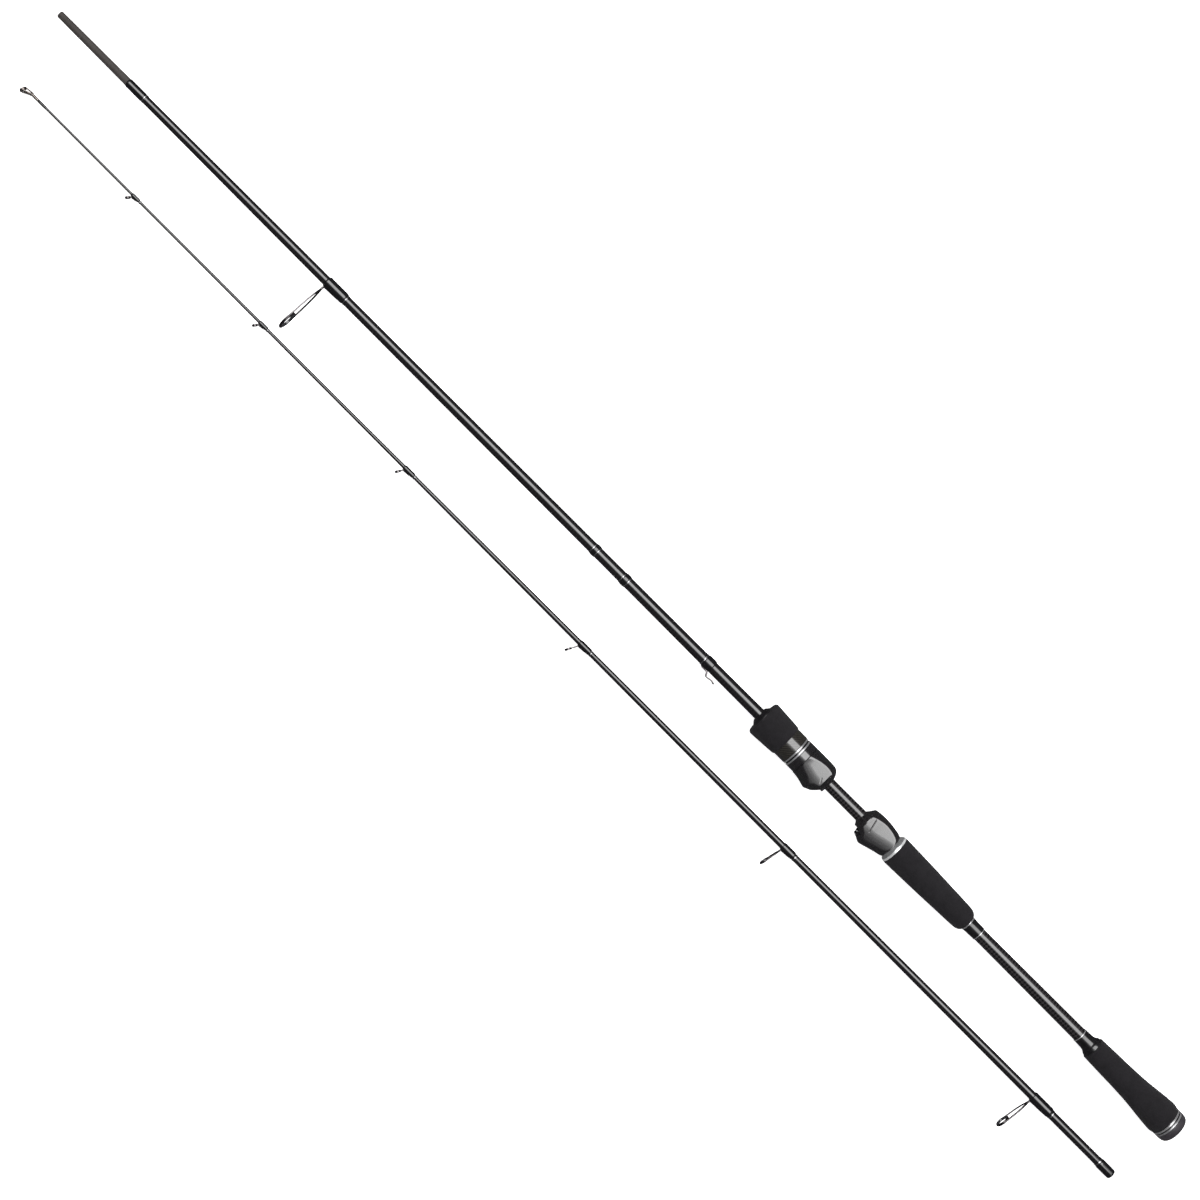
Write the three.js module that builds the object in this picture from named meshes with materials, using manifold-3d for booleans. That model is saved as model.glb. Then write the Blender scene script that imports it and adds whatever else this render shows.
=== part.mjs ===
// Two-piece spinning rod, its tip section laid beside its butt section.
//
// Frame: +X runs from the butt towards the tips, +Y is the side that the line guides
// point to and +Z is up. All lengths are in millimetres. Each section has its own
// station axis along +X: butt stations start at the butt end, tip stations at the
// mouth of the ferrule socket.

import * as THREE from 'three';
import { mergeVertices } from 'three/addons/utils/BufferGeometryUtils.js';
import Module from 'manifold-3d';

const wasm = await Module();
wasm.setup();

// ---------- driving dimensions ----------

const GAP = 0.3; // between pieces that touch on the real rod
const FINE_GAP = 0.12; // the same for the small pieces on the blanks
const SEGMENTS = 20; // around grips, hoods and collars
const BLANK_SEGMENTS = 16; // around the blanks and their thread wraps
const SMALL_SEGMENTS = 12; // around guide rings and the tip top

// where the two sections lie
const BUTT_AXIS_HEIGHT = 14.7;
const TIP_AXIS_HEIGHT = 5.5;
const SECTION_SPACING = 58;
const MOUTH_STATION = 6.8; // the socket mouth lies this far ahead of the butt end

// blanks, as [station, outer radius]
const BUTT_LENGTH = 1192.5;
const SHOULDER_STATION = 1119.3; // the bare male ferrule starts here
const BUTT_TAPER = [
  [11.5, 5.6],
  [103, 5.5],
  [209, 5.1],
  [336, 4.9],
  [452, 4.6],
  [558, 4.28],
  [694, 4.0],
  [845, 3.65],
  [966, 3.4],
  [1086, 3.0],
  [SHOULDER_STATION, 2.93],
  [BUTT_LENGTH, 2.6],
];
const BUTT_BORE = [
  [11.5, 4.4],
  [452, 3.5],
  [1086, 2.1],
  [BUTT_LENGTH, 1.8],
];
const TIP_LENGTH = 1160.5;
const TIP_TAPER = [
  [0, 3.46],
  [24, 3.4],
  [100, 3.33],
  [160, 3.08],
  [281, 2.6],
  [402, 2.35],
  [522, 1.98],
  [643, 1.63],
  [764, 1.2],
  [824, 1.03],
  [945, 0.8],
  [TIP_LENGTH, 0.6],
];
const SOCKET_DEPTH = 74;
const TIP_BORE = [
  [0, 2.98],
  [SOCKET_DEPTH, 2.65],
  [402, 1.6],
  [764, 0.5],
];

// reel seat
const FOOT_FLOOR = 8.2; // height above the axis that a reel foot lies at
const POCKET_TOP = 12.75;
const POCKET_HALF_WIDTH = 6.5;
const POCKET_WALL = 0.5; // least wall between the fixed hood's pocket and its hump
const LAND = FOOT_FLOOR - 0.15; // height of the open land in front of each pocket
// half-width across the hoods' flattened cheeks, as [station, half-width]
const REAR_CHEEKS = [
  [303, 9.2],
  [312, 8.8],
  [319, 8.8],
  [331, 10.7],
];
const FRONT_CHEEKS = [
  [369, 9.1],
  [376, 9.2],
  [387, 10.2],
  [397, 12.7],
];
const REAR_HOOD = { from: 303.8, to: 329.6, humpOffset: 4.6, pocketFrom: 314, boreRadius: 7.0 };
const REAR_NOSE = { from: 329.9, to: 335.8 };
const FRONT_HOOD = { from: 370.3, to: 396.0, humpOffset: 4.1, pocketTo: 384, landTo: 373.3 };
const BARREL = { from: 389, to: 432.4, radius: 6.6, rootRadius: 6.0, halfFlat: 5.8 };
const THREAD = { from: 404, to: 431, pitch: 2.5 };
const SLIDE_CLEARANCE = 0.3;
const CAVITY_FROM = 376; // the barrel's end comes this far into the moving hood
const NUT = { from: 402.5, to: 440.1, neckRadius: 11.5, shellRadius: 9.6, neckTo: 406.5 };
const GRIP_BORE = NUT.shellRadius + GAP;

// finish of each kind of piece: colour, roughness, metalness
const FINISHES = {
  blank: ['#17161a', 0.2, 0.1],
  eva: ['#2c2b2e', 0.9, 0],
  thread: ['#0d0c0f', 0.15, 0],
  hood: ['#2b2a2e', 0.3, 0.4],
  darkPlastic: ['#1c1b1e', 0.45, 0],
  cap: ['#39363b', 0.5, 0.1],
  silver: ['#c9cacd', 0.25, 1],
  gunsmoke: ['#6e6a6c', 0.3, 1],
  ceramic: ['#26262a', 0.25, 0],
  carbon: ['#232226', 0.25, 0.1],
};

// ---------- helpers ----------

const Z_AXIS = new THREE.Vector3(0, 0, 1);

function finish(kind) {
  const [color, roughness, metalness] = FINISHES[kind];
  return new THREE.MeshStandardMaterial({ color, roughness, metalness });
}

/** A named piece in its section. */
function piece(name, geometry, kind) {
  const mesh = new THREE.Mesh(geometry, finish(kind));
  mesh.name = name;
  return mesh;
}

/** A body of revolution about +X from [station, radius] corners. */
function turned(corners, segments) {
  const points = corners.map(([station, radius]) => new THREE.Vector2(radius, station));
  const lathe = new THREE.LatheGeometry(points, segments);
  lathe.rotateZ(-Math.PI / 2);
  return lathe;
}

/** A turned body that is solid to its axis. */
function bar(outline, segments = SEGMENTS) {
  const start = outline[0][0];
  const end = outline.at(-1)[0];
  return turned([[start, 0], ...outline, [end, 0]], segments);
}

/** A turned body with a bore that is open at both ends. */
function sleeve(outline, bore, segments = SEGMENTS) {
  return turned([...outline, ...bore.toReversed(), outline[0]], segments);
}

/** A straight bore of one radius along an outline's length. */
function straightBore(outline, radius) {
  return [
    [outline[0][0], radius],
    [outline.at(-1)[0], radius],
  ];
}

/** The radius that a taper has at a station. */
function radiusAt(taper, station) {
  const next = Math.max(1, taper.findIndex(([x]) => x >= station));
  const [x0, r0] = taper[next - 1];
  const [x1, r1] = taper[next];
  return THREE.MathUtils.mapLinear(station, x0, x1, r0, r1);
}

/** A box from its lowest to its highest corner. */
function block(low, high) {
  const size = high.map((value, i) => value - low[i]);
  const centre = high.map((value, i) => (value + low[i]) / 2);
  return new THREE.BoxGeometry(...size).translate(...centre);
}

/** A closed geometry as a solid that can be joined and cut. */
function solid(geometry) {
  const bare = geometry.clone();
  bare.deleteAttribute('normal');
  bare.deleteAttribute('uv');
  const merged = mergeVertices(bare, 1e-5);
  const index = merged.index.array;
  const triVerts = [];
  for (let i = 0; i < index.length; i += 3) {
    const [a, b, c] = index.slice(i, i + 3);
    if (a !== b && b !== c && c !== a) triVerts.push(a, b, c);
  }
  const vertProperties = new Float32Array(merged.attributes.position.array);
  const mesh = { numProp: 3, vertProperties, triVerts: new Uint32Array(triVerts) };
  return new wasm.Manifold(new wasm.Mesh(mesh));
}

/** A solid as a geometry again. */
function geometryOf(manifold) {
  const mesh = manifold.getMesh();
  const geometry = new THREE.BufferGeometry();
  geometry.setAttribute('position', new THREE.BufferAttribute(mesh.vertProperties, 3));
  geometry.setIndex(new THREE.BufferAttribute(mesh.triVerts, 1));
  geometry.computeVertexNormals();
  return geometry;
}

/** Geometries joined into one, less the geometries in cuts. */
function joined(parts, cuts = []) {
  const body = parts.map(solid).reduce((a, b) => a.add(b));
  return geometryOf(cuts.map(solid).reduce((a, b) => a.subtract(b), body));
}

/** What of a geometry lies inside another. */
function within(geometry, limit) {
  return geometryOf(solid(geometry).intersect(solid(limit)));
}

/** A bar of round or flat section along a curve. */
function barAlong(curve, width, thickness, steps, sides = 6) {
  const section = new THREE.Shape();
  for (let i = 0; i < sides; i += 1) {
    const angle = (2 * Math.PI * (i + 0.5)) / sides;
    const x = (Math.cos(angle) * width) / 2;
    const y = (Math.sin(angle) * thickness) / 2;
    if (i === 0) section.moveTo(x, y);
    else section.lineTo(x, y);
  }
  return new THREE.ExtrudeGeometry(section, { steps, bevelEnabled: false, extrudePath: curve });
}

// ---------- thread wraps and guides ----------

/** A thread wrap around a blank, with an optional slot for the foot that it binds. */
function threadWrap(taper, from, to, radius, slot) {
  const chamfer = Math.min(1.2, (to - from) / 4);
  const bore = [
    [from, radiusAt(taper, from) + FINE_GAP],
    [to, radiusAt(taper, to) + FINE_GAP],
  ];
  const outline = [
    [from, bore[0][1] + 0.15],
    [from + chamfer, radius],
    [to - chamfer, radius],
    [to, bore[1][1] + 0.15],
  ];
  const body = sleeve(outline, bore, BLANK_SEGMENTS);
  if (!slot) return body;
  const tall = 2 * radius;
  const side = slot.width / 2 + FINE_GAP;
  return joined([body], [block([slot.from - FINE_GAP, 0, -side], [to + 1, tall, side])]);
}

// from, to: the wrap's stations. wrap: its radius. height: of the ring's centre above the
// axis. ring: its outer radius. lean: degrees towards the tip. legs: 2 on the high frames.
const TIP_GUIDES = [
  { name: 'guide_1', from: 1044.6, to: 1052.5, wrap: 1.3, height: 4.0, ring: 2.15, lean: 38, legs: 1 },
  { name: 'guide_2', from: 907.5, to: 915.9, wrap: 1.4, height: 4.3, ring: 2.2, lean: 36, legs: 1 },
  { name: 'guide_3', from: 749.9, to: 760.3, wrap: 1.85, height: 5.9, ring: 2.4, lean: 31, legs: 1 },
  { name: 'guide_4', from: 560.7, to: 572.1, wrap: 2.5, height: 9.8, ring: 2.75, lean: 28, legs: 1 },
  { name: 'guide_5', from: 341.8, to: 353.6, wrap: 3.1, height: 17.9, ring: 3.9, lean: 11.5, legs: 2 },
  { name: 'guide_6', from: 65.8, to: 84.9, wrap: 4.1, height: 29.6, ring: 5.5, lean: 8, legs: 2 },
];
const STRIPPER = {
  name: 'guide_7', from: 887.4, to: 907.2, wrap: 4.4, height: 41.9, ring: 7.9, lean: 2.5, legs: 2,
};
const RING_WIDTH = 1.0; // along the line, for the smallest rings
const BAND_SHARE = 0.15; // radial share of the ring that is the steel band
const INSERT_SHARE = 0.2; // and that is the ceramic insert

/** The steel band of a guide ring, around the X axis. */
function ringBand(radius, width) {
  const outline = [
    [-width / 2, radius],
    [width / 2, radius],
  ];
  return sleeve(outline, straightBore(outline, radius * (1 - BAND_SHARE)), SMALL_SEGMENTS);
}

/** The rounded ceramic insert inside the band. */
function ringInsert(radius, width) {
  const outer = radius * (1 - BAND_SHARE) - FINE_GAP;
  const inner = outer - radius * INSERT_SHARE;
  const lip = (outer - inner) / 2;
  const outline = [
    [-width / 2, outer],
    [width / 2, outer],
  ];
  const bore = [
    [-width / 2, inner + lip],
    [-width / 4, inner],
    [width / 4, inner],
    [width / 2, inner + lip],
  ];
  return sleeve(outline, bore, SMALL_SEGMENTS);
}

/** A line guide: steel frame with its foot, ceramic insert and thread wrap. */
function lineGuide(taper, { name, from, to, wrap, height, ring, lean, legs }) {
  const surface = radiusAt(taper, to);
  const footThickness = 0.3 + 0.06 * ring;
  const footWidth = 0.6 + 0.25 * ring;
  const footLevel = surface + FINE_GAP + footThickness / 2;
  const footFrom = from + 0.3 * (to - from);
  const angle = THREE.MathUtils.degToRad(lean);
  const up = new THREE.Vector3(Math.sin(angle), Math.cos(angle), 0);
  const base = new THREE.Vector3(to - footThickness, footLevel, 0);
  const reach = (height - footLevel) / up.y;
  const centre = base.clone().addScaledVector(up, reach);
  const width = RING_WIDTH + 0.06 * ring;
  const place = (geometry) => geometry.rotateZ(-angle).translate(centre.x, centre.y, 0);

  const foot = block(
    [footFrom, surface + FINE_GAP, -footWidth / 2],
    [to, surface + FINE_GAP + footThickness, footWidth / 2],
  );
  const stems = [];
  if (legs === 2) {
    for (const side of [-1, 1]) {
      const start = base.clone().add(new THREE.Vector3(0, 0, side * 0.25 * footWidth));
      const bow = base.clone().addScaledVector(up, 0.5 * reach);
      bow.z = side * 0.68 * ring;
      const end = centre.clone().add(new THREE.Vector3(0, 0, side * ring * (1 - BAND_SHARE / 2)));
      const curve = new THREE.QuadraticBezierCurve3(start, bow, end);
      stems.push(barAlong(curve, footThickness, footThickness, 8));
    }
  } else {
    const end = centre.clone().addScaledVector(up, -ring * (1 - BAND_SHARE / 2));
    stems.push(barAlong(new THREE.LineCurve3(base, end), 0.8 * footWidth, footThickness, 1));
  }
  const slot = { from: footFrom, width: footWidth };
  return [
    piece(`${name}_frame`, joined([foot, place(ringBand(ring, width)), ...stems]), 'gunsmoke'),
    piece(`${name}_insert`, place(ringInsert(ring, width)), 'ceramic'),
    piece(`${name}_wrap`, threadWrap(taper, from, to, wrap, slot), 'thread'),
  ];
}

/** The tip top: a tube over the blank's end, with a ring held ahead of it by three arms. */
function tipTop() {
  const tube = { from: 1153.2, to: 1161.5, radius: 1.05, bore: 0.75 };
  const ring = { station: 1166.8, height: 2.4, radius: 2.3, width: 1.0, lean: 15 };
  const wrapFrom = 1144.6;
  const angle = THREE.MathUtils.degToRad(ring.lean);
  const place = (geometry) => geometry.rotateZ(-angle).translate(ring.station, ring.height, 0);
  const arms = [];
  const rootRadius = (tube.radius + tube.bore) / 2;
  const armThickness = 0.4;
  const hold = ring.radius - 0.1;
  const seat = 0.4; // the arms end in the rear face of the band
  for (const turn of [0, 100, 260]) {
    const around = THREE.MathUtils.degToRad(turn);
    const root = new THREE.Vector3(tube.to - 0.6, rootRadius * Math.cos(around), 0);
    root.z = rootRadius * Math.sin(around);
    const end = new THREE.Vector3(-seat, hold * Math.cos(around), hold * Math.sin(around));
    end.applyAxisAngle(Z_AXIS, -angle).add(new THREE.Vector3(ring.station, ring.height, 0));
    arms.push(barAlong(new THREE.LineCurve3(root, end), armThickness, armThickness, 1));
  }
  const tubeBody = sleeve(
    [[tube.from, tube.radius], [tube.to, tube.radius]],
    [[tube.from, tube.bore], [tube.to, tube.bore]],
    SMALL_SEGMENTS,
  );
  const band = place(ringBand(ring.radius, ring.width));
  return [
    piece('tip_top_frame', joined([tubeBody, band, ...arms]), 'gunsmoke'),
    piece('tip_top_insert', place(ringInsert(ring.radius, ring.width)), 'ceramic'),
    piece('tip_top_wrap', threadWrap(TIP_TAPER, wrapFrom, tube.from - GAP, 1.05), 'thread'),
  ];
}

// ---------- tip section ----------

function tipSection() {
  const section = new THREE.Group();
  const boreEnd = TIP_BORE.at(-1)[0];
  const profile = [[boreEnd, 0], ...TIP_BORE.toReversed(), ...TIP_TAPER, [TIP_LENGTH, 0]];
  section.add(piece('tip_blank', turned(profile, BLANK_SEGMENTS), 'blank'));
  section.add(piece('socket_wrap', threadWrap(TIP_TAPER, 0, 13.6, 4.1), 'thread'));
  for (const guide of TIP_GUIDES) section.add(...lineGuide(TIP_TAPER, guide));
  section.add(...tipTop());
  return section;
}

// ---------- butt section: blank and its wraps ----------

/** The hook keeper: a loop of wire whose two ends lie under its wrap. */
function hookKeeper(wrap) {
  const wire = 0.8;
  const half = 1.5;
  const surface = radiusAt(BUTT_TAPER, wrap.from) + FINE_GAP + wire / 2;
  const side = [
    [wrap.to - 2, surface],
    [wrap.from, surface],
    [wrap.from - 1.6, surface + 2.6],
    [wrap.from - 3.2, surface + 3.2],
    [wrap.from - 7.0, surface + 2.3],
    [wrap.from - 8.6, surface + 2.7],
  ];
  const left = side.map(([x, y]) => new THREE.Vector3(x, y, half));
  const right = side.map(([x, y]) => new THREE.Vector3(x, y, -half)).reverse();
  const nose = new THREE.Vector3(wrap.from - 9.4, surface + 2.9, 0);
  return barAlong(new THREE.CatmullRomCurve3([...left, nose, ...right]), wire, wire, 34);
}

function blankPieces() {
  const pieces = [piece('butt_blank', sleeve(BUTT_TAPER, BUTT_BORE, BLANK_SEGMENTS), 'blank')];
  const keeperWrap = { from: 494.5, to: 502.5 };
  const keeperSlot = { from: keeperWrap.from - 1, width: 4 };
  const wraps = [
    ['keeper_wrap', keeperWrap.from, keeperWrap.to, 5.4, keeperSlot],
    ['label_wrap_rear', 585, 590, 4.95],
    ['label_wrap_front', 617, 621.3, 4.75],
    ['ferrule_wrap', 1102.3, SHOULDER_STATION, 3.6],
  ];
  for (const [name, ...sizes] of wraps) {
    pieces.push(piece(name, threadWrap(BUTT_TAPER, ...sizes), 'thread'));
  }
  pieces.push(piece('hook_keeper', hookKeeper(keeperWrap), 'gunsmoke'));
  pieces.push(...lineGuide(BUTT_TAPER, STRIPPER));
  return pieces;
}

// ---------- butt section: handle ----------

/** A turned piece that fits over the butt blank. */
function overBlank(name, outline, kind, segments) {
  const bore = straightBore(outline, radiusAt(BUTT_TAPER, outline[0][0]) + GAP);
  return piece(name, sleeve(outline, bore, segments), kind);
}

/** A plain ring of constant section. */
function ring(name, from, to, outer, inner, kind) {
  const outline = [
    [from, outer],
    [to, outer],
  ];
  return piece(name, sleeve(outline, straightBore(outline, inner)), kind);
}

function buttGrip() {
  const cap = [
    [0, 9.6],
    [1, 11.4],
    [2.6, 12.4],
    [6.3, 13.0],
  ];
  const plug = [
    [6.6, 11.6],
    [10.9, 11.6],
    [10.9, 4.0],
    [34, 4.0],
  ];
  const grip = [
    [11.2, 12.3],
    [12.6, 13.3],
    [14.8, 13.7],
    [29.4, 12.5],
    [44.5, 11.0],
    [59.6, 10.3],
    [74.7, 9.9],
    [88.0, 9.4],
  ];
  const check = [
    [88.3, 8.6],
    [90.2, 8.4],
    [91.2, 7.8],
  ];
  const collar = [
    [91.5, 7.6],
    [92.6, 6.8],
    [94.5, 6.3],
    [101.0, 6.1],
  ];
  return [
    piece('butt_cap', bar(cap), 'cap'),
    piece('butt_plug', bar(plug), 'darkPlastic'),
    ring('butt_ring_rear', 6.7, 7.9, 13.0, 11.9, 'silver'),
    ring('butt_ring_front', 9.4, 10.6, 13.0, 11.9, 'silver'),
    overBlank('butt_grip', grip, 'eva'),
    overBlank('butt_grip_check', check, 'darkPlastic'),
    overBlank('butt_collar', collar, 'darkPlastic'),
    ring('butt_trim_ring', 101.3, 103.0, 6.0, 5.8, 'silver'),
  ];
}

function rearGrip() {
  const collar = [
    [210.7, 5.75],
    [220.8, 6.0],
  ];
  const grip = [
    [222.4, 6.6],
    [224.0, 8.4],
    [226.5, 9.6],
    [241, 10.4],
    [256, 11.0],
    [269, 11.5],
    [283, 11.9],
    [299.2, 12.3],
  ];
  const endRing = [
    [299.5, 12.1],
    [301.0, 11.9],
    [303.5, 9.9],
  ];
  return [
    ring('rear_trim_ring', 209.0, 210.4, 5.75, 5.5, 'silver'),
    overBlank('rear_collar', collar, 'darkPlastic'),
    ring('rear_grip_check', 221.1, 222.1, 6.3, 5.5, 'silver'),
    overBlank('rear_grip', grip, 'eva'),
    overBlank('rear_grip_ring', endRing, 'silver'),
  ];
}

// ---------- reel seat ----------

/** A tall block between the two cheeks of a hood, from [station, half-width] points. */
function cheekBlock(cheeks) {
  const plan = new THREE.Shape();
  const farSide = cheeks.map(([station, half]) => [station, -half]).reverse();
  plan.setFromPoints([...cheeks, ...farSide].map(([x, y]) => new THREE.Vector2(x, y)));
  const depth = 60;
  const tall = new THREE.ExtrudeGeometry(plan, { depth, bevelEnabled: false });
  return tall.rotateX(Math.PI / 2).translate(0, depth / 2, 0);
}

/** The room for a reel's foot, flat below and arched above by a ceiling turned about the hump's axis. */
function footPocket(from, to, ceiling, humpOffset) {
  const flat = block([from, FOOT_FLOOR, -POCKET_HALF_WIDTH], [to, POCKET_TOP, POCKET_HALF_WIDTH]);
  return within(flat, bar(ceiling).translate(0, humpOffset, 0));
}

/** What is cut away before the moving hood's mouth: level over the land, then rising at 45 degrees. */
function slantedMouth(from, landTo) {
  const rise = 6;
  const top = LAND + rise;
  const side = new THREE.Shape();
  const corners = [[from, LAND], [landTo, LAND], [landTo + rise, top], [from, top]];
  side.setFromPoints(corners.map(([x, y]) => new THREE.Vector2(x, y)));
  const depth = 40;
  return new THREE.ExtrudeGeometry(side, { depth, bevelEnabled: false }).translate(0, 0, -depth / 2);
}

/** The fixed hood, with its pocket for the reel foot open towards the tip. */
function rearHood() {
  const { from, to, humpOffset, pocketFrom, boreRadius } = REAR_HOOD;
  const barrel = [
    [from, 9.3],
    [306, 10.3],
    [310, 11.0],
    [315, 11.6],
    [320, 12.0],
    [325, 11.8],
    [328, 11.6],
    [to, 11.4],
  ];
  const hump = [
    [from + 0.6, 5.9],
    [310, 7.6],
    [318, 9.8],
    [323.4, 11.2],
    [327, 9.5],
    [to, 8.65],
  ];
  const bore = bar([[from - 1, boreRadius], [to + 1, boreRadius]]);
  const ceiling = hump.map(([station, radius]) => [station, radius - POCKET_WALL]);
  ceiling.push([to + 1, ceiling.at(-1)[1]]);
  const pocket = footPocket(pocketFrom, to + 1, ceiling, humpOffset);
  const body = joined([bar(barrel), bar(hump).translate(0, humpOffset, 0)], [bore, pocket]);
  return within(body, cheekBlock(REAR_CHEEKS));
}

/** The nose ring of the fixed hood, with the open land that a reel foot lies on. */
function rearNose() {
  const { from, to } = REAR_NOSE;
  const outline = [
    [from, 11.2],
    [331.6, 10.5],
    [332.8, 9.2],
    [334.0, 7.4],
    [335.0, 5.9],
    [to, 5.4],
  ];
  const body = sleeve(outline, straightBore(outline, radiusAt(BUTT_TAPER, from) + GAP));
  const wide = 12;
  return joined([body], [block([from - 1, LAND, -wide], [to + 1, wide, wide])]);
}

/** The moving hood: keyed on the barrel's flats, its pocket open towards the butt. */
function frontHood() {
  const { from, to, humpOffset, pocketTo, landTo } = FRONT_HOOD;
  const barrel = [
    [from, 5.6],
    [371.4, 7.8],
    [373, 10.3],
    [375, 11.8],
    [378, 12.5],
    [to, 12.6],
  ];
  const hump = [
    [375, 6.0],
    [377.8, 9.1],
    [382.6, 11.4],
    [387, 10.4],
    [392, 9.2],
    [to, 8.5],
  ];
  const ceiling = [
    [from - 2, 8.5],
    [379, 8.5],
    [381, 9.4],
    [pocketTo, 10.1],
  ];
  const flat = BARREL.halfFlat + SLIDE_CLEARANCE;
  const cavityRadius = BARREL.radius + SLIDE_CLEARANCE;
  const round = bar([[CAVITY_FROM, cavityRadius], [to + 1, cavityRadius]]);
  const cavity = within(round, block([0, -20, -flat], [1000, 20, flat]));
  const blankRadius = radiusAt(BUTT_TAPER, from) + SLIDE_CLEARANCE;
  const passage = bar([[from - 1, blankRadius], [to, blankRadius]]);
  const pocket = footPocket(from - 2, pocketTo, ceiling, humpOffset);
  const shell = [bar(barrel), bar(hump).translate(0, humpOffset, 0)];
  const body = joined(shell, [cavity, passage, pocket, slantedMouth(from - 2, landTo)]);
  return within(body, cheekBlock(FRONT_CHEEKS));
}

/** The barrel on the blank: threaded for the nut and flatted on both sides to key the hood. */
function threadedBarrel() {
  const { from, to, radius, rootRadius, halfFlat } = BARREL;
  const outline = [
    [from, rootRadius],
    [from + 1, radius],
    [THREAD.from, radius],
  ];
  for (let x = THREAD.from; x < THREAD.to; x += THREAD.pitch) {
    outline.push([x + 0.35 * THREAD.pitch, rootRadius], [x + 0.9 * THREAD.pitch, radius]);
  }
  outline.push([to, rootRadius]);
  const bore = straightBore(outline, radiusAt(BUTT_TAPER, from) + GAP);
  const round = sleeve(outline, bore, SMALL_SEGMENTS);
  return within(round, block([0, -20, -halfFlat], [1000, 20, halfFlat]));
}

function fixedSeat() {
  const arbor = [
    [305.0, REAR_HOOD.boreRadius - GAP],
    [326.8, REAR_HOOD.boreRadius - GAP],
  ];
  return [
    piece('rear_hood', rearHood(), 'hood'),
    piece('rear_hood_nose', rearNose(), 'hood'),
    overBlank('rear_arbor', arbor, 'darkPlastic'),
    piece('seat_barrel', threadedBarrel(), 'darkPlastic'),
  ];
}

function movingHood() {
  const bandFrom = FRONT_HOOD.to + GAP;
  const boreRadius = BARREL.radius + SLIDE_CLEARANCE;
  return [
    piece('front_hood', frontHood(), 'hood'),
    ring('front_hood_band', bandFrom, NUT.from - GAP, 12.6, boreRadius, 'hood'),
  ];
}

function foregrip() {
  const nut = [
    [NUT.from, NUT.neckRadius],
    [NUT.neckTo, NUT.neckRadius],
    [NUT.neckTo, NUT.shellRadius],
    [NUT.to, NUT.shellRadius],
  ];
  const grip = [
    [416.2, 12.9],
    [418, 13.6],
    [430, 14.3],
    [438, 14.7],
    [440.1, 13.8],
  ];
  const check = [
    [440.4, 11.4],
    [441.8, 10.6],
    [443.6, 7.6],
    [444.4, 6.4],
  ];
  const nutBore = BARREL.radius + SLIDE_CLEARANCE;
  const checkBore = radiusAt(BUTT_TAPER, check[0][0]) + SLIDE_CLEARANCE;
  return [
    piece('locking_nut', sleeve(nut, straightBore(nut, nutBore)), 'darkPlastic'),
    ring('foregrip_ring_rear', 402.7, 403.8, 12.55, NUT.neckRadius + GAP, 'silver'),
    ring('foregrip_ring_front', 405.3, 406.4, 12.55, NUT.neckRadius + GAP, 'silver'),
    ring('carbon_sleeve', NUT.neckTo + GAP, 415.9, 12.6, GRIP_BORE, 'carbon'),
    piece('foregrip', sleeve(grip, straightBore(grip, GRIP_BORE)), 'eva'),
    piece('foregrip_check', sleeve(check, straightBore(check, checkBore)), 'darkPlastic'),
  ];
}

// ---------- assembly ----------

const butt = new THREE.Group();
butt.add(...blankPieces(), ...buttGrip(), ...rearGrip(), ...fixedSeat(), ...movingHood(), ...foregrip());
butt.position.set(0, 0, BUTT_AXIS_HEIGHT);

const tip = tipSection();
tip.position.set(MOUTH_STATION, SECTION_SPACING, TIP_AXIS_HEIGHT);

// the origin is under the middle of the whole rod, on the surface that it lies on
const rod = new THREE.Group();
rod.add(butt, tip);
const reach = new THREE.Box3().setFromObject(rod);
const middle = reach.getCenter(new THREE.Vector3());
rod.position.set(-middle.x, -middle.y, -reach.min.z);

export default rod;
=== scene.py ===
"""Looks for the two-piece spinning rod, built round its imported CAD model.

Shapes are given in millimetres from each section's own axis: (station, y, z), with the
station measured along the rod. Butt stations start at the butt end and tip stations at
the mouth of the ferrule socket. +Y is the side that the line guides stand on.
"""

import math

import bpy
import bmesh
from mathutils import Matrix, Vector


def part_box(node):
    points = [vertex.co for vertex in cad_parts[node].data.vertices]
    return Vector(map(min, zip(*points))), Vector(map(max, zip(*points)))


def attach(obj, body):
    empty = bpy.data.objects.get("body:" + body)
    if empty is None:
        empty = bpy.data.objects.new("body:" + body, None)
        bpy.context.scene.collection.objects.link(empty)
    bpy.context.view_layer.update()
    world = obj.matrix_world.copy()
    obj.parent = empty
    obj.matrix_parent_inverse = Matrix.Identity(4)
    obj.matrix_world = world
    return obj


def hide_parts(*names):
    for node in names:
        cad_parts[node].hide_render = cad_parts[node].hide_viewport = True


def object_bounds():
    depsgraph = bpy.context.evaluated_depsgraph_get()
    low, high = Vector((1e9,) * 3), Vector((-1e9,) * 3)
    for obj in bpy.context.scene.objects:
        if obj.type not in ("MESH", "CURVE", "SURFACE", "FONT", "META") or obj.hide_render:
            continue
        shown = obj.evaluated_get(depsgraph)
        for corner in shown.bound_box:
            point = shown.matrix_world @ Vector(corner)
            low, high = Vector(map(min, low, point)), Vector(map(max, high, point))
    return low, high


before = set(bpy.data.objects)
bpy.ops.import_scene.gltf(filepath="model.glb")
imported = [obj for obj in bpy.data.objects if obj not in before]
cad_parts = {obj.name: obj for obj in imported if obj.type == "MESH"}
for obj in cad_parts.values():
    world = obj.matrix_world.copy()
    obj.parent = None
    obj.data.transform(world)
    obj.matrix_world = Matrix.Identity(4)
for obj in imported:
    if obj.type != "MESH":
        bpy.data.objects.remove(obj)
cad_box = [list(corner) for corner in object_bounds()]

MM = 0.001
UV = "wrap"  # across: the station in millimetres; up: turns around the rod


def axis_start(node):
    """The point on a section's axis that its stations are measured from."""
    low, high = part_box(node)
    return Vector((low.x, (low.y + high.y) / 2, (low.z + high.z) / 2))


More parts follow.
